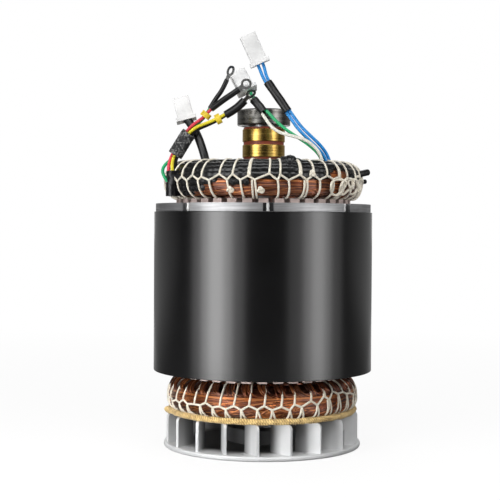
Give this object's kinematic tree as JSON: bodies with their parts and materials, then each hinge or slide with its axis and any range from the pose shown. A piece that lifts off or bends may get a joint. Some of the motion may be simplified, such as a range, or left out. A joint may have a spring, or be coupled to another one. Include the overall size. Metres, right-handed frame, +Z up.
{
  "type": "generator stator and rotor assembly",
  "caption": "Wound stator with black cover band around a slip-ring rotor that stands on its cast cooling fan, with loose coloured leads on top.",
  "frame": {"origin": "centre of the fan's resting face, on the shaft axis", "axes": "+Z up the shaft from the drive-end fan to the bearing, -Y the side where the leads cross the front, +X to the right seen from that side"},
  "size_m": [0.1928, 0.1928, 0.36],
  "materials": {
    "cast_aluminium": "light grey as-cast aluminium",
    "packing_rope": "tan fibrous packing rope",
    "laminations": "ground edges of stacked steel laminations",
    "black_paint": "satin black paint",
    "slot_paper": "white slot insulation",
    "wedge_paper": "pinkish slot closing strip",
    "enamelled_copper": "varnished enamelled copper wire",
    "steel": "turned steel",
    "bearing_steel": "polished bearing steel",
    "shield_steel": "pressed steel shield",
    "hub_resin": "red-brown moulding resin",
    "slip_ring_brass": "polished brass",
    "blue_lead": "sky blue lead insulation",
    "green_lead": "green lead insulation",
    "white_lead": "cream white lead insulation",
    "red_lead": "red lead insulation",
    "yellow_lead": "yellow lead insulation",
    "black_lead": "black lead insulation",
    "black_sleeve": "black varnished sleeving",
    "braid": "black braid with light flecks",
    "marker": "plain yellow wire marker",
    "plug_nylon": "translucent white nylon",
    "tinned_terminal": "tinned terminal metal"
  },
  "bodies": {
    "stator": {"stator_core": "laminations", "cover_band": "black_paint", "slot_liners": "slot_paper", "slot_wedges": "wedge_paper", "coil_sides": "enamelled_copper", "upper_end_winding": "enamelled_copper", "lower_end_winding": "enamelled_copper", "lead_boot": "black_sleeve", "lead_blue_left": "blue_lead", "lead_blue_right": "blue_lead", "lead_green_right": "green_lead", "lead_white_right": "white_lead", "lead_green_left": "green_lead", "lead_red": "red_lead", "lead_yellow": "yellow_lead", "lead_black": "black_lead", "upright_sleeve": "black_sleeve", "blue_sleeve": "black_sleeve", "green_white_sleeve": "black_sleeve", "braided_sleeve": "braid", "marker_left": "marker", "marker_right": "marker", "terminal_sleeve_small": "black_sleeve", "terminal_sleeve_medium": "black_sleeve", "terminal_sleeve_large": "black_sleeve", "ring_terminal_small": "tinned_terminal", "ring_terminal_medium": "tinned_terminal", "ring_terminal_large": "tinned_terminal", "plug_top": "plug_nylon", "plug_middle": "plug_nylon", "plug_left": "plug_nylon"},
    "rotor": {"fan_wheel": "cast_aluminium", "packing_cord": "packing_rope", "shaft": "steel", "rotor_core": "laminations", "field_coil_left": "enamelled_copper", "field_coil_right": "enamelled_copper", "slip_ring_hub": "hub_resin", "slip_ring_lower": "slip_ring_brass", "slip_ring_upper": "slip_ring_brass", "bearing_inner_ring": "bearing_steel"},
    "bearing_outer": {"bearing_outer_ring": "bearing_steel", "bearing_shields": "shield_steel"}
  },
  "joints": [
    {"name": "rotor_spin", "type": "hinge", "parent": "stator", "child": "rotor", "pos_m": [0, 0, 0.14], "axis": [0, 0, 1], "continuous": true},
    {"name": "bearing_spin", "type": "hinge", "parent": "rotor", "child": "bearing_outer", "pos_m": [0, 0, 0.2893], "axis": [0, 0, 1], "continuous": true}
  ]
}
